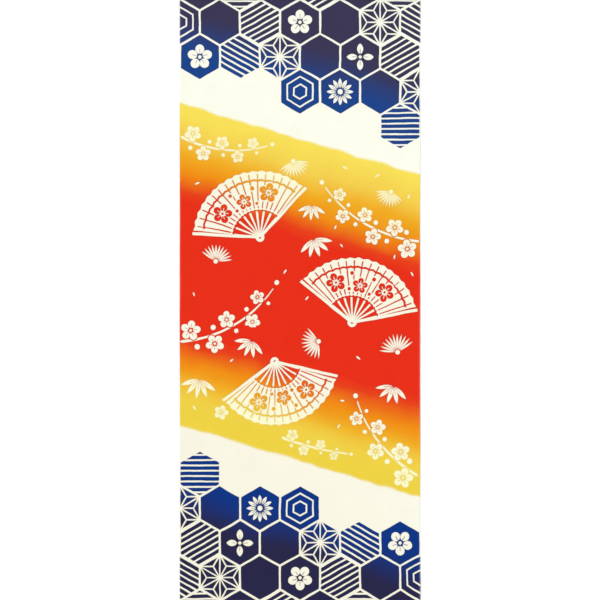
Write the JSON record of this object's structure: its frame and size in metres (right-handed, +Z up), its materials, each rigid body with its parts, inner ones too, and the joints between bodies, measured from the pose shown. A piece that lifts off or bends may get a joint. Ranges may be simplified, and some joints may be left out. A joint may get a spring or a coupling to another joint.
{
  "type": "tenugui towel",
  "caption": "Flat length of plain-weave cotton with woven selvedges and raw-cut ends, lying face up: a thin dyed cloth for drying, wrapping or hanging.",
  "frame": {"origin": "on the surface the cloth lies on, under the middle of the cloth", "axes": "+Z up out of the dyed face, +Y along the length, +X across the width from selvedge to selvedge"},
  "size_m": [0.36, 0.9, 0.0027],
  "materials": {
    "dyed_cotton": "matt plain-weave cotton, dyed through with stencilled, graded colours"
  },
  "bodies": {
    "root": {"towel": "dyed_cotton"}
  },
  "joints": []
}
